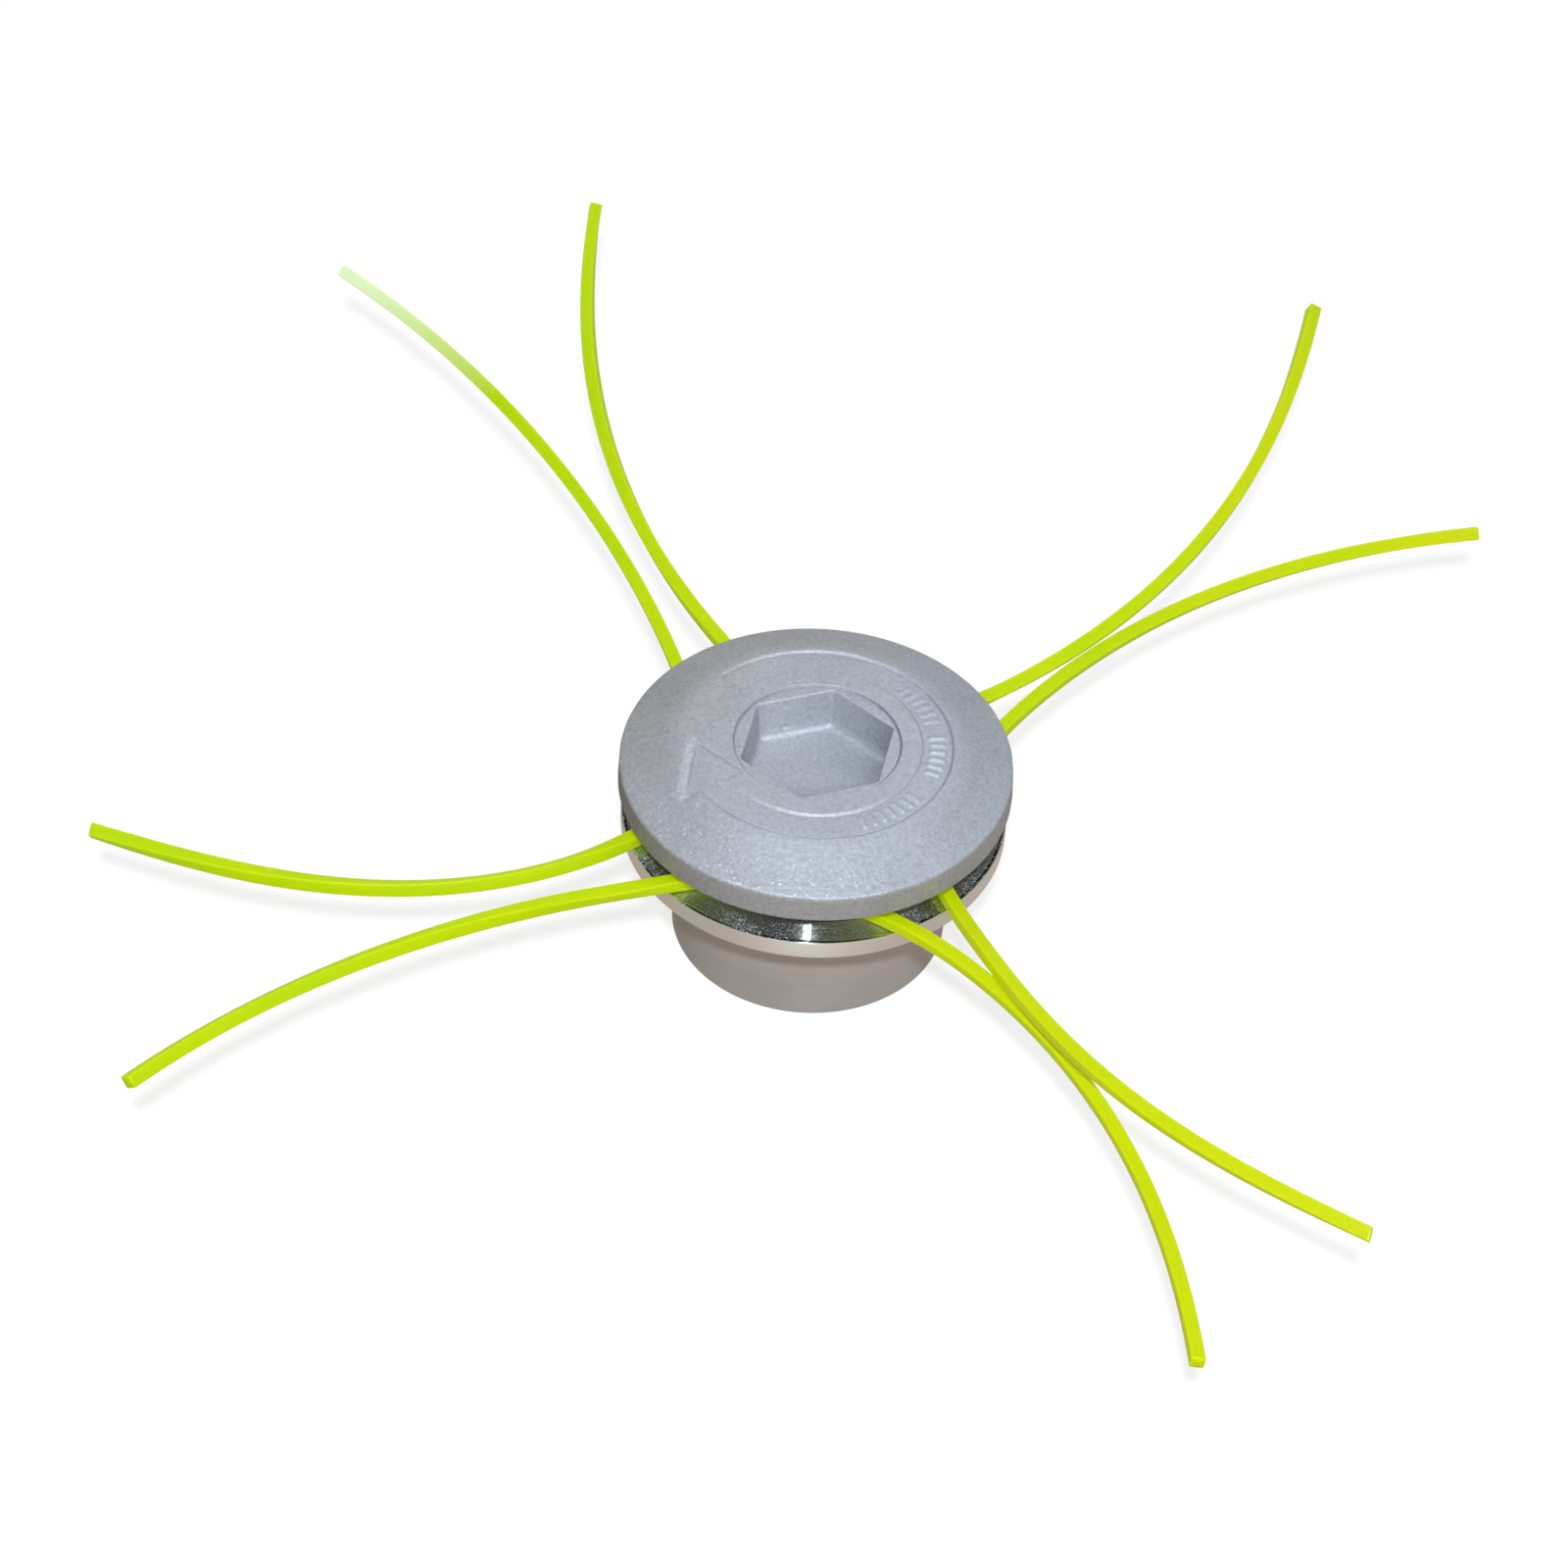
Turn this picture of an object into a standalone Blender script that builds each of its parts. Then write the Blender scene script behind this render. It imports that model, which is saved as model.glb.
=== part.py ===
"""Fixed line trimmer head with four folded trimmer lines.

A cast aluminium cover screws into a turned aluminium base. Four folded
strands of square nylon line are held between them, each round one lobe of
the cover, and their eight tails stand out of the gap. A steel insert in the
base's boss takes the trimmer's spindle.

Units are metres, +Z is up. The origin is on the head's axis, in the plane of
the cup's rim.
"""

import math

import bmesh
import bpy

MM = 0.001

# ---------------------------------------------------------------- dimensions
SEGMENTS = 96                 # facets round the turned and cast pieces
GAP = 0.3 * MM                # clearance kept between touching pieces

# base: cup, flange, boss
CUP_R = 28.2 * MM
CUP_WALL = 3.5 * MM
CUP_CEILING_Z = 21.5 * MM
FLANGE_R = 39.2 * MM
FLANGE_BOTTOM_Z = 27.4 * MM
FLANGE_TOP_Z = 31.65 * MM
BOSS_R = 12.6 * MM
BOSS_BOTTOM_Z = 7.0 * MM
SPIGOT_BORE_R = 10.5 * MM
SPIGOT_BORE_Z = 19.6 * MM
SPINDLE_BORE_R = 5.6 * MM

# steel insert, M10 left-hand thread
INSERT_AF = 17.0 * MM
INSERT_BOTTOM_Z = 7.2 * MM
INSERT_TOP_Z = 16.0 * MM
INSERT_BORE_R = 4.33 * MM
INSERT_POCKET_TOP_Z = 16.3 * MM

# cover
COVER_R = 40.0 * MM
COVER_TOP_Z = 49.6 * MM
PLATEAU_R = 27.7 * MM
RIM_TOP_Z = 44.6 * MM
RIM_BOTTOM_Z = 38.4 * MM
CEILING_Z = 35.0 * MM         # roof of the channels that hold the line
FLARE_R = 32.5 * MM           # where the roof starts to flare out to the rim
RECESS_R = 16.8 * MM
RECESS_DEPTH = 0.45 * MM
SPIGOT_R = 10.2 * MM
SPIGOT_BOTTOM_Z = 20.2 * MM

# hex socket, drafted
SOCKET_R_FLOOR = 15.4 * MM
SOCKET_R_MOUTH = 16.2 * MM
SOCKET_FLOOR_Z = 40.0 * MM
SOCKET_ANGLE = math.radians(20.5)

# sunk circular arrow, running clockwise
ARROW_R_IN = 21.1 * MM
ARROW_R_OUT = 27.5 * MM
ARROW_DEPTH = 0.5 * MM
ARROW_TAIL = math.radians(139.0)
ARROW_SHOULDER = math.radians(-145.0)
ARROW_HEAD_R_IN = 17.1 * MM
ARROW_HEAD_R_OUT = 32.3 * MM
ARROW_TIP = math.radians(-176.5)
ARROW_TIP_R = 24.6 * MM

# lobes that the strands are folded round
LOBE_COUNT = 4
LOBE_R = 8.9 * MM
LOBE_CENTRE_R = 23.5 * MM
LOBE_FIRST = math.radians(34.0)
LOBE_BOTTOM_Z = FLANGE_TOP_Z + GAP

# line: square nylon strand with cut corners
LINE_SIZE = 2.75 * MM
LINE_FLAT = 1.2 * MM          # half width of each flat
LINE_Z = FLANGE_TOP_Z + GAP + LINE_SIZE / 2
FOLD_R = LOBE_R + 0.45 * MM + LINE_SIZE / 2
TWIST_FROM = 9.0 * MM         # the line lies flat up to here from its lobe
TWIST_FULL = 27.0 * MM        # and has its own twist from here on

# Each tail: side of its lobe, lean of its heading toward its partner in
# degrees, bend away from the partner at lobe, middle and tip in 1/m,
# length in mm, its climb: slope, distance it fades over, start in mm, and its
# twist: degrees 20 mm out, then degrees per 100 mm and per 100 mm squared.
STRANDS = {
    "line_right": (0, [
        (+1, 10.9, (7.95, 6.17, 1.81), 172.9, (0.10, 90.0, 13.0),
         (-39, 52, -30)),
        (-1, 29.6, (5.58, 6.28, 5.08), 146.7, (-0.01, 200.0, 20.0),
         (-8, -40, 4)),
    ]),
    "line_back": (1, [
        (+1, 18.7, (3.54, 3.31, 3.82), 171.9, (0.03, 200.0, 14.0),
         (11, 33, -10)),
        (-1, 9.9, (5.71, 4.93, 2.03), 172.9, (0.05, 200.0, 14.0),
         (2, 76, -55)),
    ]),
    "line_left": (2, [
        (-1, 14.7, (12.45, 10.7, 0.81), 125.8, (0.02, 200.0, 14.0),
         (-31, -14, 71)),
        (+1, 20.6, (5.47, 4.70, 5.54), 131.8, (0.05, 200.0, 14.0),
         (21, -132, 72)),
    ]),
    "line_front": (3, [
        (-1, 30.6, (10.02, 7.78, 3.87), 134.2, (-0.07, 120.0, 16.0),
         (-13, 5, 10)),
        (+1, 8.6, (-3.46, 7.23, 0.88), 135.8, (0.15, 75.0, 12.0),
         (5, -29, -6)),
    ]),
}
TAIL_STEP = 7.0 * MM          # spacing of the points along a tail
FOLD_POINTS = 13


# ------------------------------------------------------------------- helpers
def clear_scene():
    for ob in list(bpy.data.objects):
        bpy.data.objects.remove(ob, do_unlink=True)
    for col in list(bpy.data.collections):
        bpy.data.collections.remove(col)
    for pool in (bpy.data.meshes, bpy.data.curves, bpy.data.materials):
        for item in list(pool):
            pool.remove(item)


def collection(name):
    col = bpy.data.collections.new(name)
    bpy.context.scene.collection.children.link(col)
    return col


def material(name, colour, roughness, metallic):
    mat = bpy.data.materials.new(name)
    mat.use_nodes = True
    bsdf = mat.node_tree.nodes["Principled BSDF"]
    bsdf.inputs["Base Color"].default_value = (*colour, 1.0)
    bsdf.inputs["Roughness"].default_value = roughness
    bsdf.inputs["Metallic"].default_value = metallic
    mat.diffuse_color = (*colour, 1.0)
    return mat


def as_cutter(ob, cutters):
    for col in list(ob.users_collection):
        col.objects.unlink(ob)
    cutters.objects.link(ob)
    ob.hide_render = True
    ob.display_type = "WIRE"
    return ob


def place(ob, col):
    for old in list(ob.users_collection):
        old.objects.unlink(ob)
    col.objects.link(ob)
    return ob


def turned(name, profile, closed, col, segments=SEGMENTS):
    """Profile of (radius, height) spun about Z with a Screw modifier."""
    mesh = bpy.data.meshes.new(name)
    verts = [(r, 0.0, z) for r, z in profile]
    edges = [(i, i + 1) for i in range(len(verts) - 1)]
    if closed:
        edges.append((len(verts) - 1, 0))
    mesh.from_pydata(verts, edges, [])
    ob = bpy.data.objects.new(name, mesh)
    col.objects.link(ob)
    screw = ob.modifiers.new("Turn", "SCREW")
    screw.axis = "Z"
    screw.angle = 2 * math.pi
    screw.steps = segments
    screw.render_steps = segments
    screw.use_merge_vertices = True
    screw.merge_threshold = 0.00001
    return ob


def boolean(ob, cutter, operation):
    mod = ob.modifiers.new(operation.title(), "BOOLEAN")
    mod.operation = operation
    mod.solver = "EXACT"
    mod.object = cutter
    return mod


def smooth(ob, angle=30.0):
    """Shade a finished mesh smooth and keep its real edges sharp."""
    mesh = ob.data
    if ob.type == "MESH":
        mesh.shade_smooth()
        mesh.set_sharp_from_angle(angle=math.radians(angle))


def bake(ob, col, name):
    """Evaluate an object's modifiers into a plain mesh object."""
    bpy.context.view_layer.update()
    deps = bpy.context.evaluated_depsgraph_get()
    mesh = bpy.data.meshes.new_from_object(ob.evaluated_get(deps))
    mesh.name = name
    bm = bmesh.new()
    bm.from_mesh(mesh)
    bmesh.ops.remove_doubles(bm, verts=bm.verts, dist=0.000001)
    bm.to_mesh(mesh)
    bm.free()
    new = bpy.data.objects.new(name, mesh)
    new.matrix_world = ob.matrix_world.copy()
    col.objects.link(new)
    bpy.data.objects.remove(ob, do_unlink=True)
    return new


# --------------------------------------------------------------------- cover
def top_profile(drop=0.0):
    """The cover's upper surface from plateau to rim, lowered by drop."""
    pts = [
        (RECESS_R + 0.25 * MM, COVER_TOP_Z),
        (PLATEAU_R - 2.0 * MM, COVER_TOP_Z - 0.08 * MM),
        (PLATEAU_R + 0.4 * MM, COVER_TOP_Z - 0.38 * MM),
        (PLATEAU_R + 2.4 * MM, COVER_TOP_Z - 0.98 * MM),
        (COVER_R - 1.2 * MM, RIM_TOP_Z + 0.25 * MM),
    ]
    return [(r, z - drop) for r, z in pts]


def build_cover(parts, cutters, mat):
    profile = [
        (0.0, COVER_TOP_Z - RECESS_DEPTH),
        (RECESS_R - 0.15 * MM, COVER_TOP_Z - RECESS_DEPTH),
    ]
    profile += top_profile()
    profile += [
        (COVER_R - 0.6 * MM, RIM_TOP_Z - 0.1 * MM),
        (COVER_R - 0.2 * MM, RIM_TOP_Z - 0.7 * MM),
        (COVER_R, RIM_BOTTOM_Z + 0.5 * MM),
        (COVER_R - 0.4 * MM, RIM_BOTTOM_Z),
        (COVER_R - 1.3 * MM, RIM_BOTTOM_Z + 0.1 * MM),
        (FLARE_R, CEILING_Z),
        (SPIGOT_R + 0.3 * MM, CEILING_Z),
        (SPIGOT_R, CEILING_Z - 0.3 * MM),
        (SPIGOT_R, SPIGOT_BOTTOM_Z + 0.8 * MM),
        (SPIGOT_R - 0.8 * MM, SPIGOT_BOTTOM_Z),
        (0.0, SPIGOT_BOTTOM_Z),
    ]
    cover = turned("cover", profile, False, parts)

    # drafted hex socket
    height = 12.0 * MM
    slope = (SOCKET_R_MOUTH - SOCKET_R_FLOOR) / (
        COVER_TOP_Z - RECESS_DEPTH - SOCKET_FLOOR_Z)
    bpy.ops.mesh.primitive_cone_add(
        vertices=6, radius1=SOCKET_R_FLOOR,
        radius2=SOCKET_R_FLOOR + slope * height, depth=height,
        location=(0, 0, SOCKET_FLOOR_Z + height / 2),
        rotation=(0, 0, SOCKET_ANGLE + math.pi / 2))
    socket = as_cutter(bpy.context.object, cutters)
    socket.name = "cut_socket"
    # turn the hexagon so that a corner lies at SOCKET_ANGLE
    corner = max((socket.matrix_world @ v.co for v in socket.data.vertices),
                 key=lambda p: p.x)
    turn = SOCKET_ANGLE - math.atan2(corner.y, corner.x)
    socket.rotation_euler[2] += turn
    boolean(cover, socket, "DIFFERENCE")

    # four lobes on the underside
    for i in range(LOBE_COUNT):
        a = LOBE_FIRST + i * 2 * math.pi / LOBE_COUNT
        top = CEILING_Z + 1.5 * MM
        bpy.ops.mesh.primitive_cylinder_add(
            vertices=32, radius=LOBE_R, depth=top - LOBE_BOTTOM_Z,
            location=(LOBE_CENTRE_R * math.cos(a),
                      LOBE_CENTRE_R * math.sin(a),
                      (top + LOBE_BOTTOM_Z) / 2))
        lobe = as_cutter(bpy.context.object, cutters)
        lobe.name = f"lobe_{i + 1}"
        edge = lobe.modifiers.new("Edge", "BEVEL")
        edge.width = 0.4 * MM
        edge.segments = 1
        edge.limit_method = "ANGLE"
        edge.angle_limit = math.radians(60)
        boolean(cover, lobe, "UNION")

    # sunk arrow: an outline standing on a surface parallel to the top
    outline = []
    steps = 48
    for i in range(steps + 1):
        a = ARROW_TAIL + (ARROW_SHOULDER - ARROW_TAIL) * i / steps
        outline.append((ARROW_R_OUT * math.cos(a), ARROW_R_OUT * math.sin(a)))
    outline.append((ARROW_HEAD_R_OUT * math.cos(ARROW_SHOULDER),
                    ARROW_HEAD_R_OUT * math.sin(ARROW_SHOULDER)))
    outline.append((ARROW_TIP_R * math.cos(ARROW_TIP),
                    ARROW_TIP_R * math.sin(ARROW_TIP)))
    outline.append((ARROW_HEAD_R_IN * math.cos(ARROW_SHOULDER),
                    ARROW_HEAD_R_IN * math.sin(ARROW_SHOULDER)))
    for i in range(steps + 1):
        a = ARROW_SHOULDER + (ARROW_TAIL - ARROW_SHOULDER) * i / steps
        outline.append((ARROW_R_IN * math.cos(a), ARROW_R_IN * math.sin(a)))
    curve = bpy.data.curves.new("arrow_outline", "CURVE")
    curve.dimensions = "2D"
    curve.fill_mode = "BOTH"
    curve.extrude = 4.0 * MM
    spline = curve.splines.new("POLY")
    spline.points.add(len(outline) - 1)
    for p, (x, y) in zip(spline.points, outline):
        p.co = (x, y, 0.0, 1.0)
    spline.use_cyclic_u = True
    stencil = bpy.data.objects.new("arrow_stencil", curve)
    stencil.location = (0, 0, COVER_TOP_Z)
    parts.objects.link(stencil)
    arrow = as_cutter(bake(stencil, cutters, "cut_arrow"), cutters)
    bm = bmesh.new()
    bm.from_mesh(arrow.data)
    bmesh.ops.recalc_face_normals(bm, faces=bm.faces)
    bm.to_mesh(arrow.data)
    bm.free()
    above = [(0.0, COVER_TOP_Z + 3.0 * MM),
             (COVER_R - 2.0 * MM, COVER_TOP_Z + 3.0 * MM)]
    floor = [(r, z) for r, z in top_profile(ARROW_DEPTH)
             if r < COVER_R - 1.5 * MM]
    floor.append((COVER_R - 2.0 * MM, floor[-1][1]
                  - (COVER_R - 2.0 * MM - floor[-1][0]) * 0.43))
    floor = floor[::-1] + [(0.0, COVER_TOP_Z - ARROW_DEPTH)]
    depth = turned("arrow_depth", above + floor, False, cutters)
    as_cutter(depth, cutters)
    boolean(arrow, depth, "INTERSECT")
    boolean(cover, arrow, "DIFFERENCE")

    cover.data.materials.append(mat)
    return cover


# ---------------------------------------------------------------------- base
def hexagon(name, across_flats, z0, z1, cutters_or_parts):
    r = across_flats / math.sqrt(3)
    bpy.ops.mesh.primitive_cylinder_add(
        vertices=6, radius=r, depth=z1 - z0, location=(0, 0, (z0 + z1) / 2))
    ob = bpy.context.object
    ob.name = name
    ob.data.name = name
    return place(ob, cutters_or_parts)


def build_base(parts, cutters, mat):
    wall_r = CUP_R - CUP_WALL
    profile = [
        (SPIGOT_BORE_R + 0.4 * MM, FLANGE_TOP_Z),
        (FLANGE_R - 0.5 * MM, FLANGE_TOP_Z),
        (FLANGE_R, FLANGE_TOP_Z - 0.45 * MM),
        (FLANGE_R, FLANGE_BOTTOM_Z + 0.4 * MM),
        (FLANGE_R - 0.5 * MM, FLANGE_BOTTOM_Z),
        (CUP_R + 0.8 * MM, FLANGE_BOTTOM_Z),
        (CUP_R + 0.2 * MM, FLANGE_BOTTOM_Z - 0.25 * MM),
        (CUP_R, FLANGE_BOTTOM_Z - 0.9 * MM),
        (CUP_R, 0.5 * MM),
        (CUP_R - 0.5 * MM, 0.0),
        (wall_r + 0.4 * MM, 0.0),
        (wall_r, 0.4 * MM),
        (wall_r, CUP_CEILING_Z - 1.0 * MM),
        (wall_r - 1.0 * MM, CUP_CEILING_Z),
        (BOSS_R + 0.8 * MM, CUP_CEILING_Z),
        (BOSS_R, CUP_CEILING_Z - 0.8 * MM),
        (BOSS_R, BOSS_BOTTOM_Z + 0.5 * MM),
        (BOSS_R - 0.5 * MM, BOSS_BOTTOM_Z),
        (SPINDLE_BORE_R, BOSS_BOTTOM_Z),
        (SPINDLE_BORE_R, SPIGOT_BORE_Z),
        (SPIGOT_BORE_R, SPIGOT_BORE_Z),
        (SPIGOT_BORE_R, FLANGE_TOP_Z - 0.4 * MM),
    ]
    base = turned("base", profile, True, parts)
    pocket = hexagon("cut_pocket", INSERT_AF + 2 * GAP,
                     BOSS_BOTTOM_Z - 2.0 * MM, INSERT_POCKET_TOP_Z, cutters)
    as_cutter(pocket, cutters)
    boolean(base, pocket, "DIFFERENCE")
    base.data.materials.append(mat)
    return base


def build_insert(parts, cutters, mat):
    nut = hexagon("insert", INSERT_AF, INSERT_BOTTOM_Z, INSERT_TOP_Z, parts)
    bpy.ops.mesh.primitive_cylinder_add(
        vertices=36, radius=INSERT_BORE_R,
        depth=INSERT_TOP_Z - INSERT_BOTTOM_Z + 4 * MM,
        location=(0, 0, (INSERT_TOP_Z + INSERT_BOTTOM_Z) / 2))
    bore = as_cutter(bpy.context.object, cutters)
    bore.name = "cut_bore"
    boolean(nut, bore, "DIFFERENCE")
    nut.data.materials.append(mat)
    return nut


# --------------------------------------------------------------------- lines
def tail_points(lobe_angle, side, lean, bends, length, climb, twist):
    """Points of one tail from the lobe to its tip.

    The tail leaves its lobe at a tangent, leaning toward its partner, and
    its bend runs smoothly through the three given values. Its height rises
    by the climb slope, which fades out with distance, and its section turns
    by the twist, counted from its right side upward.
    """
    length *= MM
    slope, fade, start = climb[0], climb[1] * MM, climb[2] * MM
    blend = 10.0 * MM
    heading = lobe_angle - side * math.radians(lean)
    normal = heading + side * math.pi / 2
    x = LOBE_CENTRE_R * math.cos(lobe_angle) + FOLD_R * math.cos(normal)
    y = LOBE_CENTRE_R * math.sin(lobe_angle) + FOLD_R * math.sin(normal)
    count = max(2, round(length / TAIL_STEP))
    fine = 12
    ds = length / (count * fine)
    points = []
    for i in range(count * fine + 1):
        s = i * ds
        if i % fine == 0:
            e = max(0.0, s - start)
            e = e * e / (2 * blend) if e < blend else e - blend / 2
            z = LINE_Z + slope * fade * (1 - math.exp(-e / fade))
            u = min(1.0, max(0.0, (s - TWIST_FROM) / (TWIST_FULL - TWIST_FROM)))
            v = (s - 20.0 * MM) / (100.0 * MM)
            turn = math.radians(twist[0] + twist[1] * v + twist[2] * v * v)
            points.append((x, y, z, turn * u * u * (3 - 2 * u)))
        t = (s + ds / 2) / length
        bend = (bends[0] * (1 - t) * (1 - 2 * t) + bends[1] * 4 * t * (1 - t)
                + bends[2] * t * (2 * t - 1))
        turn = side * bend * ds
        x += math.cos(heading + turn / 2) * ds
        y += math.sin(heading + turn / 2) * ds
        heading += turn
    return points


def strand_points(lobe, tails):
    lobe_angle = LOBE_FIRST + lobe * 2 * math.pi / LOBE_COUNT
    first, second = (tail_points(lobe_angle, *t) for t in tails)
    cx = LOBE_CENTRE_R * math.cos(lobe_angle)
    cy = LOBE_CENTRE_R * math.sin(lobe_angle)
    side = tails[0][0]
    a0 = lobe_angle + side * (math.pi / 2 - math.radians(tails[0][1]))
    a1 = (lobe_angle - side * (math.pi / 2 - math.radians(tails[1][1]))
          + side * 2 * math.pi)
    fold = []
    for i in range(1, FOLD_POINTS):
        a = a0 + (a1 - a0) * i / FOLD_POINTS
        fold.append((cx + FOLD_R * math.cos(a), cy + FOLD_R * math.sin(a),
                     LINE_Z, 0.0))
    first = [(x, y, z, -turn) for x, y, z, turn in first[::-1]]
    return first + fold + second


def build_line(name, lobe, tails, section, parts, mat):
    curve = bpy.data.curves.new(name, "CURVE")
    curve.dimensions = "3D"
    curve.twist_mode = "Z_UP"
    curve.bevel_mode = "OBJECT"
    curve.bevel_object = section
    curve.use_fill_caps = True
    spline = curve.splines.new("POLY")
    points = strand_points(lobe, tails)
    spline.points.add(len(points) - 1)
    for p, (x, y, z, turn) in zip(spline.points, points):
        p.co = (x, y, z, 1.0)
        p.tilt = -turn
    spline.use_smooth = True
    curve.materials.append(mat)
    ob = bpy.data.objects.new(name, curve)
    parts.objects.link(ob)
    return ob


def line_section(cutters):
    """Outline of the line: a square with its corners cut."""
    half, flat = LINE_SIZE / 2, LINE_FLAT
    pts = [(flat, -half), (-flat, -half), (-half, -flat), (-half, flat),
           (-flat, half), (flat, half), (half, flat), (half, -flat)]
    curve = bpy.data.curves.new("line_section", "CURVE")
    curve.dimensions = "2D"
    curve.fill_mode = "NONE"
    spline = curve.splines.new("POLY")
    spline.points.add(len(pts) - 1)
    for p, (x, y) in zip(spline.points, pts):
        p.co = (x, y, 0.0, 1.0)
    spline.use_cyclic_u = True
    ob = bpy.data.objects.new("line_section", curve)
    cutters.objects.link(ob)
    ob.hide_render = True
    ob.display_type = "WIRE"
    return ob


# ---------------------------------------------------------------------- main
def main():
    clear_scene()
    parts = collection("line_trimmer_head")
    cutters = collection("cutters")

    cast = material("cast_aluminium", (0.42, 0.44, 0.47), 0.45, 1.0)
    machined = material("machined_aluminium", (0.62, 0.57, 0.54), 0.3, 1.0)
    steel = material("steel", (0.55, 0.54, 0.52), 0.3, 1.0)
    nylon = material("nylon_line", (0.52, 0.72, 0.0), 0.35, 0.0)

    head = bpy.data.objects.new("head", None)
    parts.objects.link(head)

    pieces = [
        build_cover(parts, cutters, cast),
        build_base(parts, cutters, machined),
        build_insert(parts, cutters, steel),
    ]
    section = line_section(cutters)
    for name, (lobe, tails) in STRANDS.items():
        pieces.append(build_line(name, lobe, tails, section, parts, nylon))
    for piece in pieces:
        smooth(piece)
        piece.parent = head


main()
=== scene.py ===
"""Looks of the fixed line trimmer head.

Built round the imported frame, in metres, +Z up, with the origin on the head's
axis in the plane of the cup's rim. Finer meshes with soft edges, grain and
threads stand for the plain solids, in the same places and at the same sizes.
"""

import math

import bpy
import numpy as np
from mathutils import Matrix


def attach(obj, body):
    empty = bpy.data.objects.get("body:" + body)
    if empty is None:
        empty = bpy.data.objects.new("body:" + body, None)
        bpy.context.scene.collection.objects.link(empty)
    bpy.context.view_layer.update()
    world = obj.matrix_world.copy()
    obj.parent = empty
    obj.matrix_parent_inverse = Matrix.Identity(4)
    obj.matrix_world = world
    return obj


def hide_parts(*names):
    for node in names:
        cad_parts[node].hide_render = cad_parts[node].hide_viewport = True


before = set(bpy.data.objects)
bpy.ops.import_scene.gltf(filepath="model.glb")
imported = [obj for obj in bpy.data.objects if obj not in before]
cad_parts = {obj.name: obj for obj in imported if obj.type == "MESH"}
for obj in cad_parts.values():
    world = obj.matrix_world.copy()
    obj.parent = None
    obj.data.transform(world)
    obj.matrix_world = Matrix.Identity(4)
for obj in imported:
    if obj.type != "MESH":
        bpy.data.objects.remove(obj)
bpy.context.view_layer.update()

MM = 0.001
TAU = 2 * math.pi


# ------------------------------------------------------------ mesh helpers
def smoothstep(a, b, x):
    t = np.clip((np.asarray(x, float) - a) / (b - a), 0.0, 1.0)
    return t * t * (3 - 2 * t)


def polar(r, theta, z):
    """One ring of points in mm. r and z are numbers or arrays over theta."""
    r = np.broadcast_to(r, theta.shape)
    z = np.broadcast_to(z, theta.shape)
    return np.stack([r * np.cos(theta), r * np.sin(theta), z], -1)


def skin(rings, loop=False):
    """Verts and faces through rings of equal length, running down the
    outside. A ring of one point is a pole."""
    verts, start, count = [], [], 0
    for ring in rings:
        ring = np.atleast_2d(ring)
        start.append((count, len(ring)))
        verts.append(ring)
        count += len(ring)
    faces = []
    pairs = list(zip(start[:-1], start[1:]))
    if loop:
        pairs.append((start[-1], start[0]))
    for (a, na), (b, nb) in pairs:
        n = max(na, nb)
        for j in range(n):
            k = (j + 1) % n
            if na == 1:
                faces.append((a, b + j, b + k))
            elif nb == 1:
                faces.append((a + j, b, a + k))
            else:
                faces.append((a + j, b + j, b + k, a + k))
    return np.concatenate(verts), faces


def mesh_object(name, parts, mat, nodes, sharp=78):
    """One object from (verts in mm, faces) parts, in place of CAD nodes."""
    verts, faces, offset = [], [], 0
    for v, f in parts:
        verts.append(v)
        faces += [tuple(i + offset for i in face) for face in f]
        offset += len(v)
    verts = np.concatenate(verts) * MM
    mesh = bpy.data.meshes.new(name)
    mesh.from_pydata(verts.tolist(), [], faces)
    mesh.update()
    mesh.shade_smooth()
    mesh.set_sharp_from_angle(angle=math.radians(sharp))
    mesh.materials.append(mat)
    ob = bpy.data.objects.new(name, mesh)
    bpy.context.scene.collection.objects.link(ob)
    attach(ob, "root")
    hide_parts(*nodes)
    return ob


def fillet(r0, z0, r1, z1, r2, z2, radius, steps=5):
    """Points of a rounded corner at (r1, z1) between two straight runs."""
    a = np.array([r0 - r1, z0 - z1], float)
    b = np.array([r2 - r1, z2 - z1], float)
    la, lb = np.linalg.norm(a), np.linalg.norm(b)
    a, b = a / la, b / lb
    half = math.acos(max(-1, min(1, float(a @ b)))) / 2
    cut = min(radius / math.tan(half), 0.49 * la, 0.49 * lb)
    p, q, c = a * cut, b * cut, np.zeros(2)
    out = []
    for i in range(steps + 1):
        t = i / steps
        m = (1 - t) ** 2 * p + 2 * t * (1 - t) * c + t * t * q
        out.append((r1 + m[0], z1 + m[1]))
    return out


def rounded(profile, closed=False):
    """Profile of (r, z, corner radius) with its corners rounded."""
    out, n = [], len(profile)
    for i, (r, z, rad) in enumerate(profile):
        if rad <= 0 or (not closed and i in (0, n - 1)):
            out.append((r, z))
            continue
        p, q = profile[i - 1], profile[(i + 1) % n]
        out += fillet(p[0], p[1], r, z, q[0], q[1], rad)
    return out


def wobble(x, y, seed, wave, count=14):
    """Smooth uneven field of about unit size, the same on every run."""
    rng = np.random.RandomState(seed)
    out = np.zeros_like(x)
    for _ in range(count):
        a = rng.uniform(0, TAU)
        k = TAU / (wave * rng.uniform(0.7, 1.6))
        out += np.sin(k * (x * math.cos(a) + y * math.sin(a))
                      + rng.uniform(0, TAU))
    return out / math.sqrt(count)


def hex_radius(theta, apothem, corner, sharp):
    """Outline of a hexagon with rounded corners, one at angle corner."""
    total = np.zeros_like(theta)
    for k in range(6):
        c = np.cos(theta - corner - math.radians(30 + 60 * k))
        total += np.maximum(c, 0.0) ** sharp
    return apothem * total ** (-1.0 / sharp)


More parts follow.
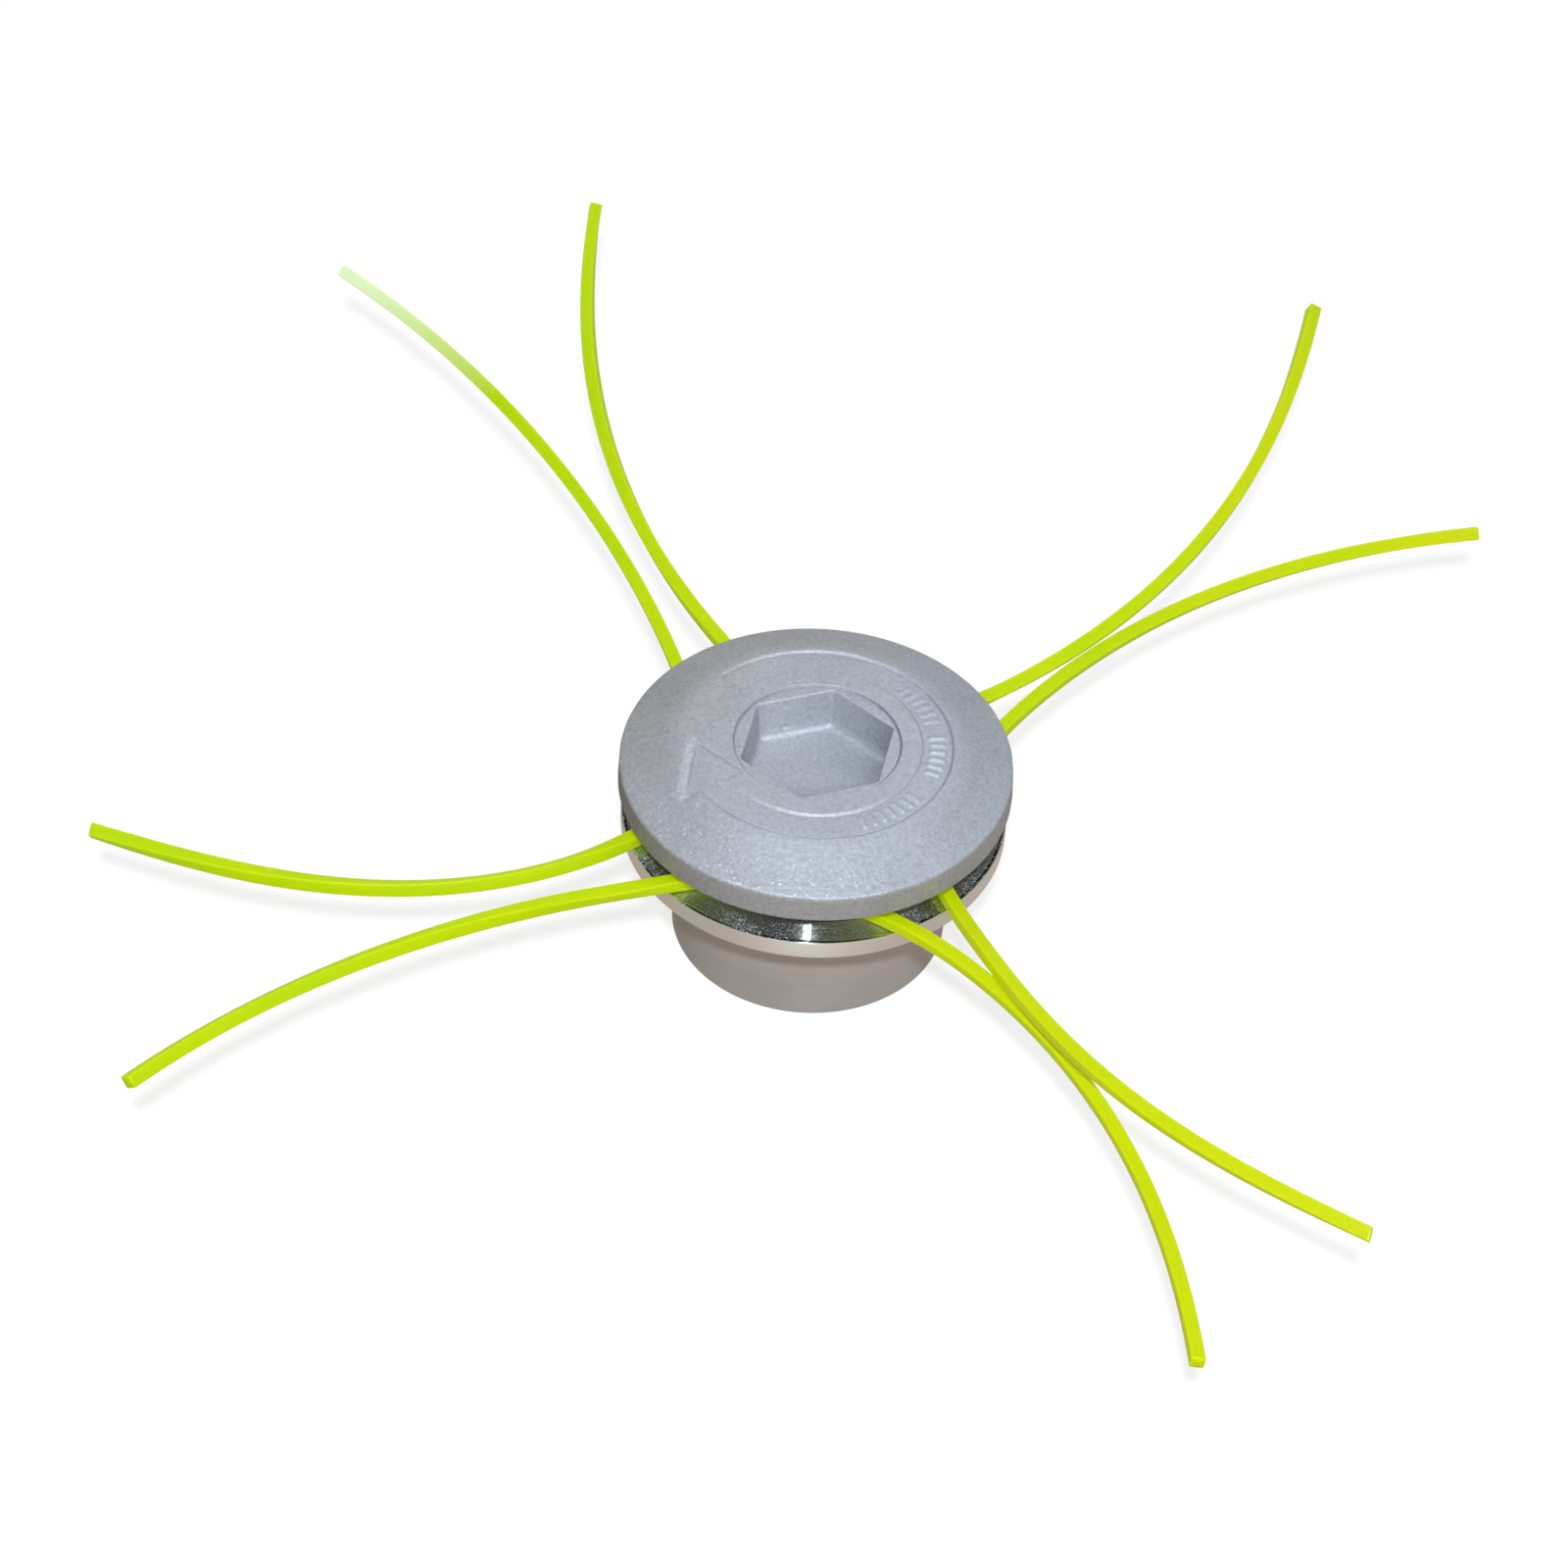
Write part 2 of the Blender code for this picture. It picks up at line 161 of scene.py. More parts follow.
# ------------------------------------------------------------- node helpers
class Nodes:
    """Short way to add linked shader nodes."""

    def __init__(self, name):
        self.mat = bpy.data.materials.new(name)
        self.mat.use_nodes = True
        self.tree = self.mat.node_tree
        self.bsdf = self.tree.nodes["Principled BSDF"]
        self.coord = self.add("ShaderNodeTexCoord").outputs["Object"]

    def add(self, kind, **values):
        node = self.tree.nodes.new(kind)
        for k, v in values.items():
            setattr(node, k, v)
        return node

    def put(self, node, **inputs):
        for name, value in inputs.items():
            socket = node.inputs[name.replace("_", " ")]
            if hasattr(value, "links") or hasattr(value, "is_output"):
                self.tree.links.new(value, socket)
            else:
                socket.default_value = value
        return node

    def link(self, a, b):
        self.tree.links.new(a, b)

    def set(self, **inputs):
        self.put(self.bsdf, **inputs)

    def noise(self, scale, detail=2.0, rough=0.5, vector=None, dims="3D"):
        node = self.add("ShaderNodeTexNoise", noise_dimensions=dims)
        self.put(node, Scale=scale, Detail=detail, Roughness=rough)
        self.link(vector or self.coord, node.inputs["Vector"])
        return node.outputs["Fac"]

    def voronoi(self, scale, feature="F1", output="Distance", vector=None):
        node = self.add("ShaderNodeTexVoronoi", feature=feature)
        self.put(node, Scale=scale)
        self.link(vector or self.coord, node.inputs["Vector"])
        return node.outputs[output]

    def math(self, op, a, b=0.0, c=0.0, clamp=False):
        node = self.add("ShaderNodeMath", operation=op, use_clamp=clamp)
        for socket, value in zip(node.inputs, (a, b, c)):
            if isinstance(value, (int, float)):
                socket.default_value = value
            else:
                self.link(value, socket)
        return node.outputs[0]

    def ramp(self, fac, *stops, smooth=False):
        node = self.add("ShaderNodeValToRGB")
        if smooth:
            node.color_ramp.interpolation = "EASE"
        points = node.color_ramp.elements
        while len(points) < len(stops):
            points.new(0.5)
        for point, (pos, value) in zip(points, stops):
            point.position = pos
            if isinstance(value, (int, float)):
                value = (value, value, value)
            point.color = (*value, 1.0)
        self.link(fac, node.inputs["Fac"])
        return node.outputs["Color"]

    def map(self, value, a, b, c, d):
        node = self.add("ShaderNodeMapRange")
        node.inputs["From Min"].default_value = a
        node.inputs["From Max"].default_value = b
        node.inputs["To Min"].default_value = c
        node.inputs["To Max"].default_value = d
        self.link(value, node.inputs["Value"])
        return node.outputs["Result"]

    def mix(self, fac, a, b, blend="MIX"):
        node = self.add("ShaderNodeMix", data_type="RGBA", blend_type=blend)
        for socket, value in zip(
                (node.inputs[0], node.inputs[6], node.inputs[7]),
                (fac, a, b)):
            if isinstance(value, (int, float)):
                socket.default_value = value
            elif isinstance(value, tuple):
                socket.default_value = (*value, 1.0)
            else:
                self.link(value, socket)
        return node.outputs[2]

    def bump(self, height, strength, distance, normal=None):
        node = self.add("ShaderNodeBump")
        self.put(node, Strength=strength, Distance=distance)
        self.link(height, node.inputs["Height"])
        if normal is not None:
            self.link(normal, node.inputs["Normal"])
        return node.outputs["Normal"]

    def xyz(self):
        node = self.add("ShaderNodeSeparateXYZ")
        self.link(self.coord, node.inputs[0])
        return node.outputs

    def combine(self, x, y, z):
        node = self.add("ShaderNodeCombineXYZ")
        for socket, value in zip(node.inputs, (x, y, z)):
            if isinstance(value, (int, float)):
                socket.default_value = value
            else:
                self.link(value, socket)
        return node.outputs[0]


# ---------------------------------------------------------------- materials
def cast_aluminium():
    n = Nodes("cast_aluminium")
    x, y, z = n.xyz()
    fine = n.noise(3600, 3.0, 0.65)
    mid = n.noise(1100, 3.0, 0.6)
    broad = n.noise(45, 2.0, 0.5)
    cells = n.voronoi(4000, output="Color")
    cell = n.add("ShaderNodeSeparateColor")
    n.link(cells, cell.inputs[0])
    spark = n.ramp(cell.outputs[0], (0.0, 0.0), (0.82, 0.0), (0.97, 1.0))
    # cool grey, a little warmer and duller toward the back left
    left = n.math("MULTIPLY_ADD", x, -18.0, 0.15)
    left = n.math("MULTIPLY_ADD", y, 9.0, left, clamp=True)
    tone = n.mix(left, (0.420, 0.452, 0.503), (0.402, 0.400, 0.414))
    grain = n.ramp(mid, (0.30, 0.84), (0.70, 1.12))
    tone = n.mix(1.0, tone, grain, "MULTIPLY")
    patch = n.ramp(broad, (0.30, 0.94), (0.70, 1.05))
    tone = n.mix(1.0, tone, patch, "MULTIPLY")
    radius = n.math("SQRT", n.math(
        "MULTIPLY_ADD", x, x, n.math("MULTIPLY", y, y)))
    rim = n.math("MULTIPLY", n.map(radius, 0.0391, 0.0396, 0.0, 1.0),
                 n.map(z, 0.0440, 0.0435, 0.0, 1.0), clamp=True)
    cone = n.map(radius, 0.0270, 0.0320, 0.0, 1.0)
    coarse = n.math("MULTIPLY_ADD", y, -16.0, 0.25)
    coarse = n.math("MULTIPLY", n.math("MULTIPLY_ADD", x, -6.0, coarse,
                                       clamp=True), cone)
    spark = n.math("MULTIPLY", spark, n.map(coarse, 0.0, 1.0, 0.30, 1.0))
    spark = n.math("MULTIPLY", spark, n.map(rim, 0.0, 1.0, 1.0, 0.15))
    tone = n.mix(n.math("MULTIPLY", spark, 0.42), tone, (0.70, 0.74, 0.79))
    # a few larger pale grains low on the left
    grit = n.add("ShaderNodeSeparateColor")
    n.link(n.voronoi(1250, output="Color"), grit.inputs[0])
    spot = n.voronoi(1250)
    grit = n.math("MULTIPLY", n.map(grit.outputs[2], 0.90, 0.93, 0.0, 1.0),
                  n.map(spot, 0.30, 0.55, 1.0, 0.0))
    grit = n.math("MULTIPLY", grit, n.map(coarse, 0.55, 0.95, 0.0, 1.0))
    grit = n.math("MULTIPLY", grit, n.map(rim, 0.0, 0.5, 1.0, 0.0))
    tone = n.mix(n.math("MULTIPLY", grit, 0.7), tone, (0.72, 0.74, 0.76))
    # the turned rim is duller and warmer than the blasted top, partly its
    # finish and partly painted shade
    tone = n.mix(rim, tone, n.mix(1.0, tone, (0.955, 0.905, 0.855),
                                  "MULTIPLY"))
    # painted shade: the rim darkens toward the left, where less light falls on
    # it
    tone = n.mix(rim, tone, n.mix(1.0, tone, n.ramp(
        n.map(x, -0.0395, -0.012, 0.0, 1.0), (0.0, 0.53), (0.45, 0.82),
        (1.0, 0.98)), "MULTIPLY"))
    # painted highlight along the arrow head's long side; painted light and
    # shade in the socket further down
    across = n.math("MULTIPLY_ADD", y, -0.1115, 0.02480)
    across = n.math("ABSOLUTE", n.math("SUBTRACT", n.math(
        "MULTIPLY_ADD", x, -0.9938, 0.0), across))
    leaf_highlight = n.math("MULTIPLY", n.map(across, 0.0006, 0.0014, 1.0, 0.0),
                  n.map(n.math("ABSOLUTE", n.math("ADD", y, 0.0095)),
                        0.0065, 0.0085, 1.0, 0.0), clamp=True)
    leaf_highlight = n.math("MULTIPLY", leaf_highlight, n.map(mid, 0.3, 0.6, 0.35, 1.0))
    tone = n.mix(n.math("MULTIPLY", leaf_highlight, 0.45), tone, (0.62, 0.68, 0.76))
    # painted shade in the scored lines inside the head, pale spots at its
    # corners
    for (ax, ay), (bx, by), strength in (
            ((-0.02390, -0.00235), (-0.01460, -0.00965), 0.34),
            ((-0.02420, -0.00330), (-0.02535, -0.01520), 0.30)):
        dx, dy = bx - ax, by - ay
        size = math.hypot(dx, dy)
        dx, dy = dx / size, dy / size
        along = n.math("MULTIPLY_ADD", x, dx, -(ax * dx + ay * dy))
        along = n.math("MULTIPLY_ADD", y, dy, along)
        off = n.math("MULTIPLY_ADD", x, dy, -(ax * dy - ay * dx))
        off = n.math("ABSOLUTE", n.math("MULTIPLY_ADD", y, -dx, off))
        score_shade = n.math("MULTIPLY", n.map(off, 0.00010, 0.00042, 1.0, 0.0),
                       n.map(n.math("ABSOLUTE", n.math(
                           "ADD", along, -size / 2)),
                           size / 2 - 0.0006, size / 2, 1.0, 0.0),
                       clamp=True)
        score_shade = n.math("MULTIPLY", score_shade, n.map(mid, 0.3, 0.6, 0.5, 1.0))
        tone = n.mix(n.math("MULTIPLY", score_shade, strength), tone,
                     (0.16, 0.16, 0.17))
    for px, py, size in ((-0.02480, -0.00120, 0.00075),
                         (-0.02640, -0.01700, 0.00070),
                         (-0.02570, -0.01890, 0.00055),
                         (-0.02300, -0.01930, 0.00060),
                         (-0.01400, -0.01010, 0.00060)):
        ox = n.math("ADD", x, -px)
        oy = n.math("ADD", y, -py)
        far = n.math("SQRT", n.math(
            "MULTIPLY_ADD", ox, ox, n.math("MULTIPLY", oy, oy)))
        far = n.math("MULTIPLY_ADD", mid, size * 2.4, far)
        pale_spot = n.map(far, size * 1.2, size * 2.1, 0.46, 0.0)
        tone = n.mix(n.math("MULTIPLY", pale_spot, n.math(
            "GREATER_THAN", z, 0.0400)), tone, (0.72, 0.76, 0.82))
    # painted light and shade in the socket: its left walls lighter, its right
    # side and the front of its floor darker
    hollow = n.math("MULTIPLY", n.math("LESS_THAN", radius, 0.0166),
                    n.math("LESS_THAN", z, 0.0490))
    tone = n.mix(hollow, tone, n.mix(1.0, tone, n.ramp(
        n.map(x, -0.014, 0.014, 0.0, 1.0), (0.0, 1.04), (0.15, 1.14),
        (0.55, 1.05), (0.82, 0.95), (1.0, 0.72)), "MULTIPLY"))
    tone = n.mix(hollow, tone, n.mix(1.0, tone, n.ramp(
        n.map(y, -0.0090, -0.0010, 0.0, 1.0), (0.0, 0.69), (1.0, 1.0)),
        "MULTIPLY"))
    # painted shade: the cover's whole underside is made nearly black
    under = n.math("MULTIPLY", n.math("LESS_THAN", z, 0.0383),
                   n.math("LESS_THAN", radius, 0.0395))
    tone = n.mix(under, tone, n.mix(1.0, tone, (0.12, 0.118, 0.113),
                                    "MULTIPLY"))
    tone = n.mix(1.0, tone, n.ramp(cone, (0.0, 1.0), (1.0, 0.885)),
                 "MULTIPLY")
    # painted shade in the groove round the recess, weaker at front and back and
    # on the left
    groove = n.math("ABSOLUTE", n.math("ADD", radius, -0.01682))
    groove = n.math("MULTIPLY", n.map(groove, 0.00010, 0.00024, 1.0, 0.0),
                    n.math("GREATER_THAN", z, 0.0480), clamp=True)
    groove = n.math("MULTIPLY", groove, n.map(
        n.math("ABSOLUTE", x), 0.005, 0.014, 0.18, 0.42))
    groove = n.math("MULTIPLY", groove, n.map(x, -0.012, 0.0, 0.6, 1.0))
    tone = n.mix(groove, tone, (0.10, 0.10, 0.11))
    # painted shade also at the foot of both edges of the arrow's band
    for where, x0, x1, strength in ((0.02722, -0.021, -0.012, 0.36),
                                    (0.02132, 0.009, 0.016, 0.24)):
        foot = n.math("ABSOLUTE", n.math("ADD", radius, -where))
        foot = n.math("MULTIPLY", n.map(foot, 0.00008, 0.00030, 1.0, 0.0),
                      n.map(x, x0, x1, 0.0, 1.0), clamp=True)
        foot = n.math("MULTIPLY", foot, n.map(y, 0.012, 0.019, 1.0, 0.0))
        foot = n.math("MULTIPLY", foot, n.map(mid, 0.3, 0.6, 0.6, 1.0))
        foot = n.math("MULTIPLY", foot, n.math("GREATER_THAN", z, 0.0450))
        # more painted shade along the front
        foot = n.math("MULTIPLY", foot, n.map(
            y, -0.022, -0.010, strength + 0.20, strength))
        tone = n.mix(foot, tone, (0.14, 0.14, 0.15))
    n.link(tone, n.bsdf.inputs["Base Color"])
    rough = n.map(fine, 0.3, 0.7, 0.54, 0.70)
    rough = n.math("MULTIPLY_ADD", spark, -0.14, rough)
    rough = n.math("MULTIPLY_ADD", rim, -0.16, rough)
    n.link(rough, n.bsdf.inputs["Roughness"])
    height = n.math("MULTIPLY_ADD", mid, 0.8, fine)
    height = n.math("MULTIPLY_ADD", cell.outputs[1], 0.30, height)
    height = n.math("MULTIPLY_ADD", grit, 1.5, height)
    rolled = n.noise(620, 2.0, 0.55)
    height = n.math("MULTIPLY_ADD", n.math("MULTIPLY", rolled, coarse),
                    2.2, height)
    n.link(n.bump(height, 0.55, 0.00010), n.bsdf.inputs["Normal"])
    n.set(Metallic=0.5)
    return n.mat


def turned(n):
    """Turning marks: noise over radius and height only."""
    x, y, z = n.xyz()
    radius = n.math("SQRT", n.math(
        "MULTIPLY_ADD", x, x, n.math("MULTIPLY", y, y)))
    return x, y, z, radius, n.combine(radius, 0.0, z)


def machined_aluminium():
    """The flange: a mirror with fine grooves and bright specks on top, given
    half the rim's tone as painted shade, and a brighter, plainer rim."""
    n = Nodes("machined_aluminium")
    x, y, z, radius, round_axis = turned(n)
    lines = n.noise(5200, 2.0, 0.7, vector=round_axis)
    top = n.math("GREATER_THAN", z, 0.03155)
    dense = n.noise(150, 2.0, 0.6)
    dense = n.map(dense, 0.35, 0.65, -0.05, 0.045)
    # the specks thin out a little right of the front
    front = n.math("MULTIPLY", n.map(x, -0.006, 0.001, 0.0, -0.045),
                   n.map(x, 0.013, 0.017, 1.0, 0.0))
    dense = n.math("ADD", dense, n.math("MULTIPLY", front, n.math(
        "LESS_THAN", y, 0.0)))
    speck = n.math("ADD", n.noise(4600, 2.0, 0.7), dense)
    dots = n.map(speck, 0.585, 0.630, 0.0, 1.0)
    large = n.math("ADD", n.noise(1900, 2.0, 0.6), dense)
    dots = n.math("MAXIMUM", dots, n.map(large, 0.64, 0.665, 0.0, 1.0))
    dots = n.math("MULTIPLY", dots, top, clamp=True)
    # painted shade: the top, which lies in the gap under the cover, gets about
    # half the rim's tone
    tone = n.mix(top, (0.95, 0.935, 0.91), (0.47, 0.50, 0.502))
    streak = n.ramp(lines, (0.25, 0.90), (0.75, 1.06))
    tone = n.mix(1.0, tone, streak, "MULTIPLY")
    tone = n.mix(n.math("MULTIPLY", dots, 0.75), tone, (0.50, 0.525, 0.53))
    n.link(tone, n.bsdf.inputs["Base Color"])
    rough = n.map(lines, 0.3, 0.7, 0.35, 0.43)
    rough = n.math("MULTIPLY_ADD", top, -0.285, rough)
    rough = n.math("MULTIPLY_ADD", dots, 0.42, rough)
    n.link(rough, n.bsdf.inputs["Roughness"])
    plain = n.math("MULTIPLY", lines, n.math("SUBTRACT", 1.0, top))
    n.link(n.bump(plain, 0.3, 0.00002), n.bsdf.inputs["Normal"])
    tangent = n.add("ShaderNodeTangent", direction_type="RADIAL", axis="Z")
    n.link(tangent.outputs[0], n.bsdf.inputs["Tangent"])
    n.link(n.map(dots, 0.0, 1.0, 1.0, 0.25), n.bsdf.inputs["Metallic"])
    n.set(Anisotropic=0.75, Anisotropic_Rotation=0.25)
    return n.mat


def satin_aluminium():
    """The cup: fine turned lines gone satin, warm painted light under the
    flange.
    """
    n = Nodes("satin_aluminium")
    x, y, z, radius, round_axis = turned(n)
    lines = n.noise(3800, 3.0, 0.7, vector=round_axis)
    grain = n.noise(2400, 3.0, 0.6)
    broad = n.noise(60, 2.0, 0.5)
    tone = n.ramp(lines, (0.25, (0.382, 0.361, 0.351)),
                  (0.75, (0.432, 0.411, 0.404)))
    tone = n.mix(1.0, tone, n.ramp(grain, (0.3, 0.92), (0.7, 1.07)),
                 "MULTIPLY")
    tone = n.mix(1.0, tone, n.ramp(broad, (0.3, 0.95), (0.7, 1.05)),
                 "MULTIPLY")
    # painted light: lighter and warmer toward the flange, lifting the flange's
    # shadow as warm light from below would
    under = n.map(z, 0.0080, 0.0215, 0.0, 1.0)
    tone = n.mix(under, tone, n.mix(1.0, tone, (1.30, 1.20, 1.12),
                                    "MULTIPLY"))
    n.link(tone, n.bsdf.inputs["Base Color"])
    n.link(n.map(grain, 0.3, 0.7, 0.50, 0.62), n.bsdf.inputs["Roughness"])
    height = n.math("MULTIPLY_ADD", lines, 0.8, grain)
    n.link(n.bump(height, 0.4, 0.00004), n.bsdf.inputs["Normal"])
    n.set(Metallic=0.5)
    return n.mat


def steel():
    n = Nodes("steel")
    mid = n.noise(2600, 3.0, 0.6)
    tone = n.ramp(mid, (0.3, (0.47, 0.46, 0.45)), (0.7, (0.57, 0.56, 0.54)))
    n.link(tone, n.bsdf.inputs["Base Color"])
    n.link(n.map(mid, 0.3, 0.7, 0.25, 0.42), n.bsdf.inputs["Roughness"])
    n.link(n.bump(mid, 0.3, 0.00004), n.bsdf.inputs["Normal"])
    n.set(Metallic=1.0)
    return n.mat


def nylon():
    n = Nodes("nylon_line")
    x, y, z = n.xyz()
    broad = n.noise(26, 2.0, 0.5)
    fine = n.noise(2200, 2.0, 0.6)
    yellow = n.math("MULTIPLY_ADD", x, 3.5, n.math(
        "MULTIPLY_ADD", broad, 1.6, -0.35))
    yellow = n.math("MULTIPLY_ADD", y, -2.0, yellow, clamp=True)
    tone = n.mix(yellow, (0.256, 0.368, 0.0003), (0.326, 0.377, 0.0003))
    tone = n.mix(n.math("MULTIPLY", fine, 0.10), tone, (0.41, 0.51, 0.003))
    # painted highlight: the far left tail goes pale toward its tip
    away = n.math("MULTIPLY_ADD", x, -0.58, n.math("MULTIPLY", y, 0.81))
    pale = n.map(away, 0.140, 0.188, 0.0, 0.92)
    side = n.math("LESS_THAN", x, -0.068)
    pale = n.math("MULTIPLY", pale, side)
    tone = n.mix(pale, tone, (0.44, 0.53, 0.33))
    n.link(tone, n.bsdf.inputs["Base Color"])
    # the line glows in its own colour, painted light that stands for its
    # fluorescence and brightens its shaded faces
    n.link(tone, n.bsdf.inputs["Emission Color"])
    n.link(n.bump(fine, 0.25, 0.00005), n.bsdf.inputs["Normal"])
    n.set(Metallic=0.0, Roughness=0.40, IOR=1.5, Emission_Strength=0.62,
          Specular_IOR_Level=0.14,
          Subsurface_Weight=0.75, Subsurface_Scale=0.0016)
    n.bsdf.inputs["Subsurface Radius"].default_value = (1.0, 1.0, 0.3)
    return n.mat


def floor_material():
    n = Nodes("floor")
    x, y, z = n.xyz()
    radius = n.math("SQRT", n.math(
        "MULTIPLY_ADD", x, x, n.math("MULTIPLY", y, y)))
    soft = n.noise(3, 2.0, 0.5)
    tone = n.ramp(soft, (0.3, 0.22), (0.7, 0.23))
    # far away it gives the same even white as the wall behind it
    tone = n.mix(1.0, tone, n.ramp(n.map(radius, 0.4, 2.2, 0.0, 1.0),
                                   (0.0, 1.0), (1.0, 0.0), smooth=True),
                 "MULTIPLY")
    n.link(tone, n.bsdf.inputs["Base Color"])
    n.link(n.ramp(n.map(radius, 0.4, 2.2, 0.0, 1.0), (0.0, 0.74),
                  (1.0, 0.93), smooth=True), n.bsdf.inputs["Emission Color"])
    n.set(Roughness=0.9, Emission_Strength=1.0)
    n.bsdf.inputs["Specular IOR Level"].default_value = 0.1
    return n.mat


CAST = cast_aluminium()
MACHINED = machined_aluminium()
SATIN = satin_aluminium()
STEEL = steel()
NYLON = nylon()

# -------------------------------------------------------------------- cover
SOCKET_CORNER = math.radians(20.5)
FLOOR_Z, RECESS_Z = 40.0, 49.15
ARROW_IN, ARROW_OUT, ARROW_DEPTH = 21.1, 27.5, 0.5
ARROW_TAIL, ARROW_SHOULDER = math.radians(139.0), math.radians(-145.0)
HEAD_IN, HEAD_OUT = 17.1, 32.3
TIP_ANGLE, TIP_R = math.radians(-176.5), 24.6


def top_z(r):
    """Height of the cover's upper surface without its marks."""
    r = np.asarray(r, float)
    return (49.585 - 0.009 * (r - 17.0)
            - 0.424 * 1.0 * np.log1p(np.exp((r - 28.06) / 1.0)))


def half_plane(p, q, x, y):
    """Distance to the right of the line from p to q."""
    dx, dy = q[0] - p[0], q[1] - p[1]
    length = math.hypot(dx, dy)
    return ((x - p[0]) * dy - (y - p[1]) * dx) / length


def on_circle(radius, angle):
    return radius * math.cos(angle), radius * math.sin(angle)


def inside(distance, soft):
    """1 inside an edge and 0 outside it, over a width of twice soft."""
    return 1 - smoothstep(-1.0, 1.0, distance / soft)


def arrow_depth(r, theta):
    """How far the circular arrow is sunk, in mm, and how much of it is
    the evenly deep band."""
    x, y = r * np.cos(theta), r * np.sin(theta)
    a = (theta + math.pi) % TAU - math.pi
    # the band's outer edge softens toward the head
    near_head = smoothstep(math.radians(115), math.radians(143), -a)
    band = (inside(ARROW_IN - r, 0.24)
            * inside(r - ARROW_OUT, 0.24 + 0.9 * near_head)
            * inside(r * (a - ARROW_TAIL), 1.3)
            * inside(r * (ARROW_SHOULDER - a) - 0.6, 0.8))
    outer = on_circle(HEAD_OUT, ARROW_SHOULDER)
    inner = on_circle(HEAD_IN, ARROW_SHOULDER)
    tip = on_circle(TIP_R, TIP_ANGLE)
    left = half_plane(tip, outer, x, y)
    shoulder = half_plane(outer, inner, x, y)
    right = half_plane(inner, tip, x, y)
    # the head lies deepest along its long outer side, which slopes widely
    deep = 0.24 + 0.24 * smoothstep(0.0, 7.0, -right)
    head = (deep * (1 - smoothstep(-1.7, 0.5, left))
            * inside(shoulder, 0.35 + 0.05 * np.clip(r - 21, 0, 9))
            * inside(right, 0.28))
    # scored lines inside its right edge and its long slope
    body = inside(left + 0.6, 0.5) * inside(shoulder + 0.3, 0.4)
    head = head + 0.13 * body * np.exp(-((right + 0.30) / 0.20) ** 2)
    head = head + (0.12 * inside(right + 0.5, 0.5) * inside(shoulder, 0.4)
                   * np.exp(-((left + 1.75) / 0.22) ** 2))
    return np.maximum(ARROW_DEPTH * band, head), band


TICKS = ([(45.0 - 5.0 * i, 0.30) for i in range(6)]
         + [(8.0 - 5.0 * i, 0.42) for i in range(6)]
         + [(-36.0 - 5.0 * i, 0.43) for i in range(7)])


def ticks(r, theta):
    """Row of short plain bars standing up from the band's floor."""
    out = np.zeros(np.broadcast(r, theta).shape)
    radial = (smoothstep(22.3, 22.9, r) * (1 - smoothstep(25.5, 26.1, r)))
    for degrees, height in TICKS:
        a = math.radians(degrees)
        across = np.abs(((theta - a + math.pi) % TAU - math.pi) * r)
        out = np.maximum(out, height * radial
                         * (1 - smoothstep(0.20, 0.66, across)))
    return out


